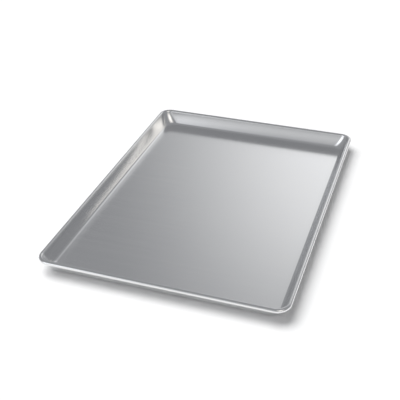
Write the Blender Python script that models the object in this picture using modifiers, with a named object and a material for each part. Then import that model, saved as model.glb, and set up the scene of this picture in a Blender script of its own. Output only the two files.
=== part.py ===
"""Three-quarter size baking sheet pan.

One aluminium sheet is drawn into a shallow tray, and its edge is rolled outwards
and down into a round bead that holds a bent steel wire. Metres, +Z up, +Y along
the pan's length. The origin is under the middle of the floor, on the face that
the pan stands on. A section's points are pairs of inset, measured inwards from
the outside of the rim, and height.
"""

import math

import bmesh
import bpy

# Overall sizes, measured over the rolled rim
RIM_LENGTH = 0.530
RIM_WIDTH = 0.378
PAN_HEIGHT = 0.0254

# Sheet, walls and corners
SHEET = 0.0010
WALL_TOP_LEAN = math.radians(13.0)
WALL_FOOT_LEAN = math.radians(28.0)
FLOOR_FILLET = 0.0055
RIM_CORNER = 0.0215
FLOOR_CORNER = 0.0220

# Wire and the bead rolled round it
WIRE_DIAMETER = 0.0045
WIRE_CLEARANCE = 0.0003
WIRE_END_GAP = 0.0020
CURL_EDGE_GAP = 0.0005

# Finish
SHEET_COLOUR = (0.78, 0.78, 0.79)
SHEET_ROUGHNESS = 0.35
WIRE_COLOUR = (0.55, 0.56, 0.58)
WIRE_ROUGHNESS = 0.45

# How finely the round shapes are cut into flats
CORNER_STEPS = 12
FILLET_STEPS = 5
WALL_STEPS = 4
CURL_STEP = math.radians(17.0)
WIRE_CORNER_STEPS = 10
WIRE_BEVEL_RESOLUTION = 4
FLOOR_BORDER = 0.0040
MERGE_DISTANCE = 0.00001
SMOOTH_ANGLE = math.radians(40.0)

# Sizes that follow from the ones above
CURL_INNER = WIRE_DIAMETER / 2 + WIRE_CLEARANCE
CURL_OUTER = CURL_INNER + SHEET
BEAD_INSET = CURL_OUTER
BEAD_HEIGHT = PAN_HEIGHT - CURL_OUTER


def clear_scene():
    for old_object in list(bpy.data.objects):
        bpy.data.objects.remove(old_object, do_unlink=True)


def new_collection(name):
    collection = bpy.data.collections.new(name)
    bpy.context.scene.collection.children.link(collection)
    return collection


def metal(name, colour, roughness):
    material = bpy.data.materials.new(name)
    material.use_nodes = True
    shader = material.node_tree.nodes["Principled BSDF"]
    shader.inputs["Base Color"].default_value = (*colour, 1.0)
    shader.inputs["Metallic"].default_value = 1.0
    shader.inputs["Roughness"].default_value = roughness
    return material


def arc(centre, radius, start, end, steps):
    """Points on an arc in the section, both ends included."""
    points = []
    for step in range(steps + 1):
        angle = start + (end - start) * step / steps
        points.append((centre[0] + radius * math.cos(angle), centre[1] + radius * math.sin(angle)))
    return points


def wall_top():
    """Where the wall's inside face runs into the bead."""
    return (
        BEAD_INSET + CURL_OUTER * math.cos(WALL_TOP_LEAN),
        BEAD_HEIGHT + CURL_OUTER * math.sin(WALL_TOP_LEAN),
    )


def wall_arc():
    """Centre and radius of the gently hollow wall, which leans more towards its foot."""
    top_inset, top_height = wall_top()
    foot_height = SHEET + FLOOR_FILLET * (1 - math.sin(WALL_FOOT_LEAN))
    radius = (top_height - foot_height) / (math.sin(WALL_FOOT_LEAN) - math.sin(WALL_TOP_LEAN))
    centre = (top_inset + radius * math.cos(WALL_TOP_LEAN), top_height + radius * math.sin(WALL_TOP_LEAN))
    return centre, radius


def fillet_centre():
    """Centre of the arc that joins the floor and the wall, right above the edge of the flat floor."""
    centre, radius = wall_arc()
    inset = centre[0] - (radius - FLOOR_FILLET) * math.cos(WALL_FOOT_LEAN)
    return (inset, SHEET + FLOOR_FILLET)


def inside_section():
    """Inside face from the edge of the flat floor, round its fillet and up to just below the bead."""
    foot = -math.pi + WALL_FOOT_LEAN
    fillet = arc(fillet_centre(), FLOOR_FILLET, -math.pi / 2, foot, FILLET_STEPS)
    wall = arc(*wall_arc(), foot, -math.pi + WALL_TOP_LEAN, WALL_STEPS)
    return fillet + wall[1:-1]


def curl_section():
    """Outside face of the bead, with points at its top, at its outermost side and at its free edge."""
    wall_back = CURL_OUTER - SHEET - CURL_EDGE_GAP
    free_edge = WALL_TOP_LEAN + 2 * math.pi - math.acos(wall_back / CURL_OUTER)
    stops = [WALL_TOP_LEAN, math.pi / 2, math.pi, free_edge]
    points = [wall_top()]
    for start, end in zip(stops, stops[1:]):
        steps = math.ceil((end - start) / CURL_STEP)
        points += arc((BEAD_INSET, BEAD_HEIGHT), CURL_OUTER, start, end, steps)[1:]
    return points


def plan_radius(inset):
    """Corner radius in plan: the bead is a plain bend, and the wall's corner opens out towards the floor."""
    top_inset = wall_top()[0]
    if inset <= top_inset:
        return RIM_CORNER - inset
    top_radius = RIM_CORNER - top_inset
    share = (inset - top_inset) / (fillet_centre()[0] - top_inset)
    return top_radius + (FLOOR_CORNER - top_radius) * share


def quarter_ring(inset, radius, steps):
    """A quarter of a rounded rectangle, from the long axis round to the short axis."""
    half_width = RIM_WIDTH / 2 - inset
    half_length = RIM_LENGTH / 2 - inset
    points = [(0.0, half_length)]
    for step in range(steps + 1):
        angle = math.pi / 2 * (1 - step / steps)
        points.append((
            half_width - radius + radius * math.cos(angle),
            half_length - radius + radius * math.sin(angle),
        ))
    points.append((half_width, 0.0))
    return points


def build_pan_body(collection):
    """One quarter of the inside face, lofted through rounded rectangles, mirrored and thickened."""
    loft = bmesh.new()
    border = quarter_ring(fillet_centre()[0] + FLOOR_BORDER, FLOOR_CORNER, CORNER_STEPS)
    rows = [[loft.verts.new((x, y, SHEET)) for x, y in border]]
    for inset, height in inside_section() + curl_section():
        ring = quarter_ring(inset, plan_radius(inset), CORNER_STEPS)
        rows.append([loft.verts.new((x, y, height)) for x, y in ring])
    for lower, upper in zip(rows, rows[1:]):
        for index in range(len(lower) - 1):
            loft.faces.new((lower[index], lower[index + 1], upper[index + 1], upper[index]))
    middle = loft.verts.new((0.0, 0.0, SHEET))
    loft.faces.new([middle, *reversed(rows[0])])
    loft.normal_update()

    mesh = bpy.data.meshes.new("pan_body")
    loft.to_mesh(mesh)
    loft.free()
    mesh.shade_smooth()
    mesh.set_sharp_from_angle(angle=SMOOTH_ANGLE)
    mesh.materials.append(metal("mill_finish_aluminium", SHEET_COLOUR, SHEET_ROUGHNESS))
    body = bpy.data.objects.new("pan_body", mesh)
    collection.objects.link(body)

    mirror = body.modifiers.new("other_quarters", "MIRROR")
    mirror.use_axis = (True, True, False)
    mirror.merge_threshold = MERGE_DISTANCE
    thickness = body.modifiers.new("sheet_thickness", "SOLIDIFY")
    thickness.thickness = SHEET
    thickness.offset = -1.0
    thickness.use_even_offset = True


def build_rim_wire(collection):
    """Bent wire through the middle of the bead, its ends butted on the long axis at the back."""
    corner = quarter_ring(BEAD_INSET, RIM_CORNER - BEAD_INSET, WIRE_CORNER_STEPS)[1:-1]
    end_y = RIM_LENGTH / 2 - BEAD_INSET
    path = [(WIRE_END_GAP / 2, end_y)]
    path += corner
    path += [(x, -y) for x, y in reversed(corner)]
    path += [(-x, -y) for x, y in corner]
    path += [(-x, y) for x, y in reversed(corner)]
    path.append((-WIRE_END_GAP / 2, end_y))

    curve = bpy.data.curves.new("rim_wire", "CURVE")
    curve.dimensions = "3D"
    curve.bevel_depth = WIRE_DIAMETER / 2
    curve.bevel_resolution = WIRE_BEVEL_RESOLUTION
    curve.use_fill_caps = True
    curve.materials.append(metal("galvanised_wire", WIRE_COLOUR, WIRE_ROUGHNESS))
    spline = curve.splines.new("POLY")
    spline.points.add(len(path) - 1)
    for point, (x, y) in zip(spline.points, path):
        point.co = (x, y, BEAD_HEIGHT, 1.0)
    wire = bpy.data.objects.new("rim_wire", curve)
    collection.objects.link(wire)


def main():
    clear_scene()
    collection = new_collection("three_quarter_sheet_pan")
    build_pan_body(collection)
    build_rim_wire(collection)


main()
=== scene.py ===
"""Looks of the three-quarter sheet pan: satin mill-finish aluminium in a plain, soft-lit studio.

Metres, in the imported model's frame: +X along the short sides, +Y along the long
sides, +Z up. A point of the pan's section is a pair of inset, measured inwards
from the outside of the rim, and height.
"""

import math

import bpy
from mathutils import Matrix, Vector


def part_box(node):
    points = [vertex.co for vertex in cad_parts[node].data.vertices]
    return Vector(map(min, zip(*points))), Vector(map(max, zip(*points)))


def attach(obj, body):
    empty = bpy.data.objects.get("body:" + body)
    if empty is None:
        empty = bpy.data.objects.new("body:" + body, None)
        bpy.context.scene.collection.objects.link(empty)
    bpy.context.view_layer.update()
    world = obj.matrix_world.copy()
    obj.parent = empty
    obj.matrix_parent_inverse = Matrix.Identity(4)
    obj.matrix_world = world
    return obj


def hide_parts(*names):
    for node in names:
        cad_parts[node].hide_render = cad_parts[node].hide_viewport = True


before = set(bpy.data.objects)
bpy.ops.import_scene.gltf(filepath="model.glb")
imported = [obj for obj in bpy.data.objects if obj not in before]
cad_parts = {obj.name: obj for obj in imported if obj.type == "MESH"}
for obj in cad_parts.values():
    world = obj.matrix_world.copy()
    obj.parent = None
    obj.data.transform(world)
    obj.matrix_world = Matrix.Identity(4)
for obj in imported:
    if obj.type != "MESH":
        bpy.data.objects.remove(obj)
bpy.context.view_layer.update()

# Pan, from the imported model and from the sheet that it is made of
_, PAN_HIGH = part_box("pan_body")
HALF_WIDTH = PAN_HIGH.x
HALF_LENGTH = PAN_HIGH.y
PAN_HEIGHT = PAN_HIGH.z
SHEET = 0.0010
WALL_TOP_LEAN = math.radians(13.0)
WALL_FOOT_LEAN = math.radians(28.0)
FLOOR_FILLET = 0.0055
RIM_CORNER = 0.0215
FLOOR_CORNER = 0.0220
BEAD_RADIUS = 0.00355
CURL_EDGE_GAP = 0.0005

# How finely the sheet is cut
CORNER_STEPS = 24
RUN_STEP = 0.008
FILLET_STEPS = 10
WALL_STEPS = 16
CURL_STEPS = 44
FLOOR_RINGS = 24
WELD_DISTANCE = 0.00001

# How much of a noise, which keeps near its middle, is stretched over the whole range
NOISE_MIDDLE = 0.5
NOISE_WIDE = (0.3, 0.7)
NOISE_NARROW = (0.35, 0.65)
DETAIL_RICH = 3.0
DETAIL_USUAL = 2.0
DETAIL_PLAIN = 1.0

# Aluminium: patterns in waves a metre along the short sides, along the long sides and up
ROLLING_STREAKS = (3.0, 170.0, 0.0)
ROLLING_GRAIN = (40.0, 1500.0, 0.0)
CLOUDS = (9.0, 9.0, 0.0)
WALL_WAVES = (24.0, 24.0, 0.0)

# Marks that drawing leaves in the corners: waves a metre round the corner and up its wall
DRAW_MARKS = (1200.0, 40.0, 0.0)

# Aluminium: colours, and how far streaks and clouds shade them
ALUMINIUM_DARK = (0.788, 0.790, 0.795)
ALUMINIUM_LIGHT = (0.812, 0.812, 0.813)
ALUMINIUM_RUBBED = (0.84, 0.84, 0.84)
STREAK_SHARE = 0.6
CLOUD_SHARE = 0.4

# Aluminium: roughness of the satin sheet, and what clouds, drawn corners and the rubbed rim add to it
SATIN_ROUGHNESS = (0.160, 0.184)
CLOUD_ROUGHNESS = 0.02
DRAWN_ROUGHNESS = (0.02, 0.04)
RIM_ROUGHNESS = 0.05
RUBBED_FROM = PAN_HEIGHT - 1.5 * BEAD_RADIUS

# Aluminium: relief of the grain, and of the soft waves between the wall's foot and the bead
GRAIN_DEPTH = 0.00001
GRAIN_STRENGTH = 0.25
WAVE_DEPTH = 0.00014
WAVES_START = 0.0015
WAVES_FULL = 0.0100
WAVES_FADE = PAN_HEIGHT - 3 * BEAD_RADIUS
WAVES_END = PAN_HEIGHT - BEAD_RADIUS

# Zinc on the wire, with spangles and tarnish in waves a metre
SPANGLES = 450.0
SPANGLE_DEPTH = 0.00005
SPANGLE_STRENGTH = 0.4
TARNISH = (120.0, 120.0, 120.0)
TARNISH_SHOWS = (0.5, 0.8)
TARNISH_LEAST = 0.0
TARNISH_MOST = 0.5
ZINC_DARK = (0.47, 0.48, 0.50)
ZINC_LIGHT = (0.60, 0.61, 0.63)
ZINC_TARNISHED = (0.40, 0.40, 0.41)
ZINC_ROUGHNESS = (0.38, 0.56)

# Sockets of a Mix node that is set to colours
MIX_FIRST_COLOUR = 6
MIX_SECOND_COLOUR = 7
MIX_RESULT_COLOUR = 2

# Camera, as found from the rim's four straight edges in the photograph
CAMERA_PLACE = (0.3281, -1.0274, 0.6913)
CAMERA_YAW = math.radians(18.87)
CAMERA_PITCH = math.radians(32.49)
CAMERA_ROLL = math.radians(0.53)
CAMERA_LENS = 68.86
CAMERA_SENSOR = 36.0
CAMERA_NEAREST = 0.01

# Table under the pan
FLOOR_RADIUS = 60.0
FLOOR_SIDES = 96
FLOOR_DROP = 0.0002
FLOOR_WHITE = 0.85
FLOOR_WHITE_SEEN = 1.0

# Tints of the room and the lights
NEUTRAL = (1.0, 1.0, 1.0)
PALE = (0.98, 1.0, 1.04)
WARM = (1.04, 1.0, 0.93)

# Studio round the pan: a plain pale room with four soft boxes, each placed where a part of the pan
# mirrors it. Angles are in degrees, and azimuth runs from the pan's far end towards its right side. A box has
# faded to half at its half width and half height, and the fade reaches one feather inwards and outwards.
ROOM_BRIGHTNESS = 0.32
BOX_FEATHER = 12.0

# The flat floor mirrors this one
FAR_BOX = dict(azimuth=5, elevation=28, half_width=22, half_height=10, strength=0.85, tint=NEUTRAL)

# The back left corner's highlight
FRONT_RIGHT_BOX = dict(azimuth=135, elevation=38, half_width=18, half_height=15, strength=1.2, tint=WARM)

# The back wall mirrors this one
FRONT_BOX = dict(azimuth=-170, elevation=10, half_width=20, half_height=15, strength=0.3, tint=NEUTRAL)

# The back right corner's highlight
FRONT_LEFT_BOX = dict(azimuth=-140, elevation=20, half_width=15, half_height=15, strength=1.4, tint=PALE)

SOFT_BOXES = (FAR_BOX, FRONT_RIGHT_BOX, FRONT_BOX, FRONT_LEFT_BOX)

# How much of the room's light the table gets. The rest comes from the key lamp, which casts the shadow.
STUDIO_ON_TABLE = 0.6

# Key lamp: wide and soft, high on the left. The pan, all bare metal, doesn't mirror it, so only the table
# answers to it.
KEY_AZIMUTH = math.radians(-80.0)
KEY_ELEVATION = math.radians(65.0)
KEY_ANGLE = math.radians(54.0)
KEY_STRENGTH = 2.7


def arc(centre, radius, start, end, steps):
    """Points on an arc in the section, both ends included."""
    points = []
    for step in range(steps + 1):
        angle = start + (end - start) * step / steps
        points.append((centre[0] + radius * math.cos(angle), centre[1] + radius * math.sin(angle)))
    return points


def wall_top():
    """Where the wall's inside face runs into the bead."""
    return (
        BEAD_RADIUS + BEAD_RADIUS * math.cos(WALL_TOP_LEAN),
        PAN_HEIGHT - BEAD_RADIUS + BEAD_RADIUS * math.sin(WALL_TOP_LEAN),
    )


def wall_centre_and_radius():
    """The arc of the gently hollow wall, which leans more towards its foot."""
    top_inset, top_height = wall_top()
    foot_height = SHEET + FLOOR_FILLET * (1 - math.sin(WALL_FOOT_LEAN))
    radius = (top_height - foot_height) / (math.sin(WALL_FOOT_LEAN) - math.sin(WALL_TOP_LEAN))
    centre = (top_inset + radius * math.cos(WALL_TOP_LEAN), top_height + radius * math.sin(WALL_TOP_LEAN))
    return centre, radius


def fillet_centre():
    """Centre of the arc that joins the floor and the wall, right above the edge of the flat floor."""
    centre, radius = wall_centre_and_radius()
    inset = centre[0] - (radius - FLOOR_FILLET) * math.cos(WALL_FOOT_LEAN)
    return (inset, SHEET + FLOOR_FILLET)


def sheet_section():
    """Upper face of the sheet from the flat floor's edge, up the wall and round the bead to its free edge."""
    foot = -math.pi + WALL_FOOT_LEAN
    top = -math.pi + WALL_TOP_LEAN
    fillet = arc(fillet_centre(), FLOOR_FILLET, -math.pi / 2, foot, FILLET_STEPS)
    wall = arc(*wall_centre_and_radius(), foot, top, WALL_STEPS)
    free_edge = WALL_TOP_LEAN + 2 * math.pi - math.acos(1 - (SHEET + CURL_EDGE_GAP) / BEAD_RADIUS)
    curl = arc((BEAD_RADIUS, PAN_HEIGHT - BEAD_RADIUS), BEAD_RADIUS, WALL_TOP_LEAN, free_edge, CURL_STEPS)
    return fillet + wall[1:-1] + curl


def plan_radius(inset):
    """Corner radius in plan: the bead is a plain bend, and the wall's corner opens out towards the floor."""
    top_inset = wall_top()[0]
    if inset <= top_inset:
        return RIM_CORNER - inset
    top_radius = RIM_CORNER - top_inset
    share = min(1.0, (inset - top_inset) / (fillet_centre()[0] - top_inset))
    return top_radius + (FLOOR_CORNER - top_radius) * share


def plan_ring(inset):
    """A rounded rectangle as (x, y, outward x, outward y), with the same count of points for every inset."""
    radius = plan_radius(inset)
    core_x = HALF_WIDTH - inset - radius
    core_y = HALF_LENGTH - inset - radius
    runs_x = round(2 * HALF_WIDTH / RUN_STEP)
    runs_y = round(2 * HALF_LENGTH / RUN_STEP)
    corners = ((1, 1, 0.0, runs_x), (-1, 1, 0.5, runs_y), (-1, -1, 1.0, runs_x), (1, -1, 1.5, runs_y))
    points = []
    for index, (sign_x, sign_y, turn, runs) in enumerate(corners):
        for step in range(CORNER_STEPS + 1):
            angle = math.pi * (turn + 0.5 * step / CORNER_STEPS)
            out_x, out_y = math.cos(angle), math.sin(angle)
            points.append((sign_x * core_x + radius * out_x, sign_y * core_y + radius * out_y, out_x, out_y))
        start = points[-1]
        next_x, next_y, next_turn, _ = corners[(index + 1) % len(corners)]
        next_angle = math.pi * next_turn
        end_x = next_x * core_x + radius * math.cos(next_angle)
        end_y = next_y * core_y + radius * math.sin(next_angle)
        for step in range(1, runs):
            share = step / runs
            points.append((
                start[0] + (end_x - start[0]) * share,
                start[1] + (end_y - start[1]) * share,
                start[2],
                start[3],
            ))
    return points


def corner_share(out_x, out_y):
    """How far round a corner a direction is: 0 on the straight sides, 1 on the diagonal."""
    return 2 * abs(out_x * out_y)


def build_pan(material):
    """The drawn sheet: rings from the middle of the floor out to the curl's free edge, then thickened.

    Each point also keeps where it lay on the flat sheet, for the rolling marks, and how far it lies round
    its corner and up the wall, for the drawing marks.
    """
    section = sheet_section()
    floor_ring = plan_ring(section[0][0])
    spine = HALF_LENGTH - HALF_WIDTH
    vertices, places, draws, rows = [], [], [], []
    for ring in range(FLOOR_RINGS):
        share = ring / FLOOR_RINGS
        row = []
        for x, y, _, _ in floor_ring:
            middle_y = max(-spine, min(spine, y))
            row.append(len(vertices))
            vertices.append((x * share, middle_y + (y - middle_y) * share, SHEET))
            places.append(vertices[-1])
            draws.append((0.0, 0.0, 0.0, 0.0))
        rows.append(row)
    travelled = 0.0
    previous = section[0]
    for inset, height in section:
        travelled += math.dist(previous, (inset, height))
        previous = (inset, height)
        row = []
        for (x, y, out_x, out_y), start in zip(plan_ring(inset), floor_ring):
            row.append(len(vertices))
            vertices.append((x, y, height))
            places.append((start[0] + out_x * travelled, start[1] + out_y * travelled, 0.0))
            draws.append((RIM_CORNER * math.atan2(out_y, out_x), travelled, 0.0, corner_share(out_x, out_y)))
        rows.append(row)
    faces = []
    for inner, outer in zip(rows, rows[1:]):
        for index in range(len(inner)):
            following = (index + 1) % len(inner)
            faces.append((inner[index], outer[index], outer[following], inner[following]))
    mesh = bpy.data.meshes.new("pan_sheet")
    mesh.from_pydata(vertices, [], faces)
    sheet_place = mesh.attributes.new("sheet_place", "FLOAT_VECTOR", "POINT")
    for index, value in enumerate(places):
        sheet_place.data[index].vector = value
    corner_draw = mesh.attributes.new("corner_draw", "FLOAT_COLOR", "POINT")
    for index, value in enumerate(draws):
        corner_draw.data[index].color = value
    mesh.shade_smooth()
    mesh.materials.append(material)
    pan = bpy.data.objects.new("pan_sheet", mesh)
    bpy.context.scene.collection.objects.link(pan)
    weld = pan.modifiers.new("close_the_middle", "WELD")
    weld.merge_threshold = WELD_DISTANCE
    thickness = pan.modifiers.new("sheet_thickness", "SOLIDIFY")
    thickness.thickness = SHEET
    thickness.offset = -1.0
    thickness.use_even_offset = True
    return pan


def number(tree, operation, *values):
    """A Math node fed by sockets and plain numbers."""
    node = tree.nodes.new("ShaderNodeMath")
    node.operation = operation
    for socket, value in zip(node.inputs, values):
        if isinstance(value, bpy.types.NodeSocket):
            tree.links.new(value, socket)
        else:
            socket.default_value = value
    return node.outputs[0]


def smooth_range(tree, value, start, end, low=0.0, high=1.0):
    """Goes smoothly from low at start to high at end."""
    node = tree.nodes.new("ShaderNodeMapRange")
    node.interpolation_type = "SMOOTHSTEP"
    tree.links.new(value, node.inputs["Value"])
    node.inputs["From Min"].default_value = start
    node.inputs["From Max"].default_value = end
    node.inputs["To Min"].default_value = low
    node.inputs["To Max"].default_value = high
    return node.outputs["Result"]


def switch(tree, condition, no, yes):
    """One number where a condition is 0 and another where it is 1."""
    node = tree.nodes.new("ShaderNodeMapRange")
    tree.links.new(condition, node.inputs["Value"])
    node.inputs["To Min"].default_value = no
    node.inputs["To Max"].default_value = yes
    return node.outputs["Result"]


def noise(tree, place, per_metre, detail=DETAIL_USUAL):
    """Noise from 0 to 1 with its own count of waves a metre along each axis."""
    stretched = tree.nodes.new("ShaderNodeVectorMath")
    stretched.operation = "MULTIPLY"
    tree.links.new(place, stretched.inputs[0])
    stretched.inputs[1].default_value = per_metre
    node = tree.nodes.new("ShaderNodeTexNoise")
    tree.links.new(stretched.outputs[0], node.inputs["Vector"])
    node.inputs["Scale"].default_value = 1.0
    node.inputs["Detail"].default_value = detail
    return node.outputs["Fac"]


def blend_colour(tree, share, first, second):
    """The first colour where the share is 0 and the second where it is 1, each a socket or plain numbers."""
    node = tree.nodes.new("ShaderNodeMix")
    node.data_type = "RGBA"
    tree.links.new(share, node.inputs["Factor"])
    for index, value in ((MIX_FIRST_COLOUR, first), (MIX_SECOND_COLOUR, second)):
        if isinstance(value, bpy.types.NodeSocket):
            tree.links.new(value, node.inputs[index])
        else:
            node.inputs[index].default_value = (*value, 1.0)
    return node.outputs[MIX_RESULT_COLOUR]


def bump(tree, height, distance, strength=1.0, over=None):
    """The normal after a relief, which may lie over another one."""
    node = tree.nodes.new("ShaderNodeBump")
    tree.links.new(height, node.inputs["Height"])
    node.inputs["Distance"].default_value = distance
    node.inputs["Strength"].default_value = strength
    if over is not None:
        tree.links.new(over, node.inputs["Normal"])
    return node.outputs["Normal"]


def new_metal(name):
    """A material that is all metal, with its node tree and its shader."""
    material = bpy.data.materials.new(name)
    material.use_nodes = True
    shader = material.node_tree.nodes["Principled BSDF"]
    shader.inputs["Metallic"].default_value = 1.0
    return material, material.node_tree, shader


def read_attribute(tree, name):
    """A node that reads what the mesh keeps for each point under a name."""
    node = tree.nodes.new("ShaderNodeAttribute")
    node.attribute_name = name
    return node


def aluminium_look():
    """Satin sheet, rolled along the short side, duller in the drawn corners, paler and duller on the rim."""
    material, tree, shader = new_metal("mill_finish_aluminium")
    place = read_attribute(tree, "sheet_place").outputs["Vector"]
    corner = read_attribute(tree, "corner_draw")
    streaks = noise(tree, place, ROLLING_STREAKS, DETAIL_RICH)
    grain = noise(tree, place, ROLLING_GRAIN)
    clouds = noise(tree, place, CLOUDS)
    draw_marks = noise(tree, corner.outputs["Vector"], DRAW_MARKS)
    in_corner = corner.outputs["Alpha"]
    position = tree.nodes.new("ShaderNodeSeparateXYZ")
    tree.links.new(tree.nodes.new("ShaderNodeTexCoord").outputs["Object"], position.inputs[0])
    height = position.outputs["Z"]
    rubbed = smooth_range(tree, height, RUBBED_FROM, PAN_HEIGHT)

    streak_shade = number(tree, "MULTIPLY", streaks, STREAK_SHARE)
    cloud_shade = number(tree, "MULTIPLY", clouds, CLOUD_SHARE)
    shade = number(tree, "ADD", streak_shade, cloud_shade)
    rolled = blend_colour(tree, smooth_range(tree, shade, *NOISE_WIDE), ALUMINIUM_DARK, ALUMINIUM_LIGHT)
    worn = number(tree, "MULTIPLY", rubbed, smooth_range(tree, clouds, *NOISE_NARROW))
    colour = blend_colour(tree, worn, rolled, ALUMINIUM_RUBBED)
    tree.links.new(colour, shader.inputs["Base Color"])

    satin = smooth_range(tree, streaks, *NOISE_WIDE, *SATIN_ROUGHNESS)
    cloudy = number(tree, "MULTIPLY_ADD", clouds, CLOUD_ROUGHNESS, satin)
    marked = smooth_range(tree, draw_marks, *NOISE_NARROW, *DRAWN_ROUGHNESS)
    drawn = number(tree, "MULTIPLY", in_corner, marked)
    rough = number(tree, "ADD", cloudy, drawn)
    tree.links.new(number(tree, "MULTIPLY_ADD", rubbed, RIM_ROUGHNESS, rough), shader.inputs["Roughness"])

    above_floor = smooth_range(tree, height, WAVES_START, WAVES_FULL)
    below_bead = smooth_range(tree, height, WAVES_END, WAVES_FADE)
    on_wall = number(tree, "MULTIPLY", above_floor, below_bead)
    swell = number(tree, "SUBTRACT", noise(tree, place, WALL_WAVES, DETAIL_PLAIN), NOISE_MIDDLE)
    waves = bump(tree, number(tree, "MULTIPLY", swell, on_wall), WAVE_DEPTH)
    marks = number(tree, "MULTIPLY", in_corner, draw_marks)
    fine = number(tree, "ADD", grain, marks)
    tree.links.new(bump(tree, fine, GRAIN_DEPTH, GRAIN_STRENGTH, waves), shader.inputs["Normal"])
    return material


def wire_look():
    """Galvanised steel wire: dull zinc with a fine spangle."""
    material, tree, shader = new_metal("galvanised_wire")
    place = tree.nodes.new("ShaderNodeTexCoord").outputs["Object"]
    spangle = tree.nodes.new("ShaderNodeTexVoronoi")
    spangle.inputs["Scale"].default_value = SPANGLES
    tree.links.new(place, spangle.inputs["Vector"])
    patch = tree.nodes.new("ShaderNodeSeparateColor")
    tree.links.new(spangle.outputs["Color"], patch.inputs[0])
    tarnish = noise(tree, place, TARNISH, DETAIL_RICH)
    zinc = blend_colour(tree, patch.outputs[0], ZINC_DARK, ZINC_LIGHT)
    tarnished = smooth_range(tree, tarnish, *TARNISH_SHOWS, TARNISH_LEAST, TARNISH_MOST)
    tree.links.new(blend_colour(tree, tarnished, zinc, ZINC_TARNISHED), shader.inputs["Base Color"])
    tree.links.new(smooth_range(tree, tarnish, *NOISE_WIDE, *ZINC_ROUGHNESS), shader.inputs["Roughness"])
    relief = bump(tree, spangle.outputs["Distance"], SPANGLE_DEPTH, SPANGLE_STRENGTH)
    tree.links.new(relief, shader.inputs["Normal"])
    return material


def build_camera():
    """The camera at the photograph's place, with its lens and its slight roll."""
    data = bpy.data.cameras.new("photo_view")
    data.lens = CAMERA_LENS
    data.sensor_width = CAMERA_SENSOR
    data.clip_start = CAMERA_NEAREST
    camera = bpy.data.objects.new("photo_view", data)
    turned = Matrix.Rotation(CAMERA_YAW, 4, "Z") @ Matrix.Rotation(math.pi / 2 - CAMERA_PITCH, 4, "X")
    camera.matrix_world = Matrix.Translation(CAMERA_PLACE) @ turned @ Matrix.Rotation(-CAMERA_ROLL, 4, "Z")
    bpy.context.scene.collection.objects.link(camera)
    bpy.context.scene.camera = camera


def build_floor():
    """A wide table, plain white to the lamps and brighter where the camera or a reflection sees it."""
    bpy.ops.mesh.primitive_circle_add(
        vertices=FLOOR_SIDES, radius=FLOOR_RADIUS, fill_type="NGON", location=(0, 0, -FLOOR_DROP))
    floor = bpy.context.object
    floor.name = "floor"
    material = bpy.data.materials.new("floor_white")
    material.use_nodes = True
    tree = material.node_tree
    tree.nodes.clear()
    output = tree.nodes.new("ShaderNodeOutputMaterial")
    diffuse = tree.nodes.new("ShaderNodeBsdfDiffuse")
    tree.links.new(diffuse.outputs["BSDF"], output.inputs["Surface"])
    ray = tree.nodes.new("ShaderNodeLightPath")
    direct = number(tree, "MAXIMUM", ray.outputs["Is Camera Ray"], ray.outputs["Is Glossy Ray"])
    seen = number(tree, "MAXIMUM", direct, ray.outputs["Is Transmission Ray"])
    tree.links.new(switch(tree, seen, FLOOR_WHITE, FLOOR_WHITE_SEEN), diffuse.inputs["Color"])
    floor.data.materials.append(material)


def tinted_light(tree, tint, amount):
    """An amount of light, which is a socket or a plain number, in a tint."""
    node = tree.nodes.new("ShaderNodeVectorMath")
    node.operation = "SCALE"
    node.inputs[0].default_value = tint
    if isinstance(amount, bpy.types.NodeSocket):
        tree.links.new(amount, node.inputs["Scale"])
    else:
        node.inputs["Scale"].default_value = amount
    return node.outputs[0]


def add_light(tree, first, second):
    """Two lights together."""
    node = tree.nodes.new("ShaderNodeVectorMath")
    node.operation = "ADD"
    tree.links.new(first, node.inputs[0])
    tree.links.new(second, node.inputs[1])
    return node.outputs[0]


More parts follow.
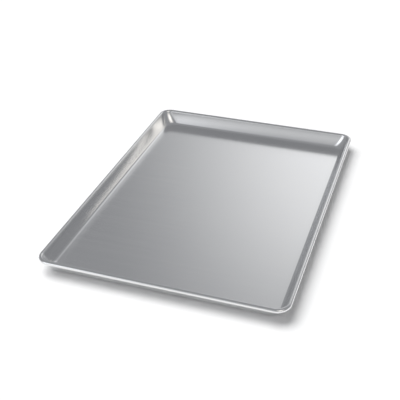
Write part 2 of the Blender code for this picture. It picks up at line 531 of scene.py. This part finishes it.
def soft_box(tree, right, ahead, elevation, box):
    """The light that a soft box sends from each direction."""
    azimuth = math.radians(box["azimuth"])
    cosine = math.cos(azimuth)
    sine = math.sin(azimuth)
    across = number(
        tree, "SUBTRACT", number(tree, "MULTIPLY", right, cosine), number(tree, "MULTIPLY", ahead, sine))
    along = number(
        tree, "ADD", number(tree, "MULTIPLY", right, sine), number(tree, "MULTIPLY", ahead, cosine))
    sideways = number(tree, "ABSOLUTE", number(tree, "DEGREES", number(tree, "ARCTAN2", across, along)))
    upwards = number(tree, "ABSOLUTE", number(tree, "SUBTRACT", elevation, box["elevation"]))
    half_width = box["half_width"]
    half_height = box["half_height"]
    width = smooth_range(tree, sideways, half_width + BOX_FEATHER, half_width - BOX_FEATHER)
    reach = smooth_range(
        tree, upwards, half_height + BOX_FEATHER, half_height - BOX_FEATHER, 0.0, box["strength"])
    return tinted_light(tree, box["tint"], number(tree, "MULTIPLY", width, reach))


def build_studio():
    """A plain pale room with far soft boxes, which the camera sees as white behind the table."""
    world = bpy.data.worlds.new("studio")
    bpy.context.scene.world = world
    world.use_nodes = True
    tree = world.node_tree
    direction = tree.nodes.new("ShaderNodeTexCoord")
    parts = tree.nodes.new("ShaderNodeSeparateXYZ")
    tree.links.new(direction.outputs["Generated"], parts.inputs[0])
    right, ahead, up = parts.outputs
    elevation = number(tree, "DEGREES", number(tree, "ARCSINE", up))
    total = tinted_light(tree, PALE, ROOM_BRIGHTNESS)
    for box in SOFT_BOXES:
        total = add_light(tree, total, soft_box(tree, right, ahead, elevation, box))
    background = tree.nodes["Background"]
    ray = tree.nodes.new("ShaderNodeLightPath")
    behind = number(tree, "MAXIMUM", ray.outputs["Is Camera Ray"], ray.outputs["Is Transmission Ray"])
    tree.links.new(blend_colour(tree, behind, total, NEUTRAL), background.inputs["Color"])
    brightness = switch(tree, ray.outputs["Is Diffuse Ray"], 1.0, STUDIO_ON_TABLE)
    tree.links.new(brightness, background.inputs["Strength"])


def build_key():
    """The key lamp, a wide sun that casts the pan's soft shadow on the table."""
    data = bpy.data.lights.new("key", "SUN")
    data.energy = KEY_STRENGTH
    data.angle = KEY_ANGLE
    key = bpy.data.objects.new("key", data)
    key.rotation_euler = (math.pi / 2 - KEY_ELEVATION, 0.0, math.pi - KEY_AZIMUTH)
    key.visible_glossy = False
    bpy.context.scene.collection.objects.link(key)


build_camera()
aluminium = aluminium_look()
pan = build_pan(aluminium)
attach(pan, "root")
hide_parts("pan_body")
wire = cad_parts["rim_wire"]
wire.data.materials.clear()
wire.data.materials.append(wire_look())
build_floor()

build_studio()
build_key()
bpy.context.scene.view_settings.view_transform = "Standard"
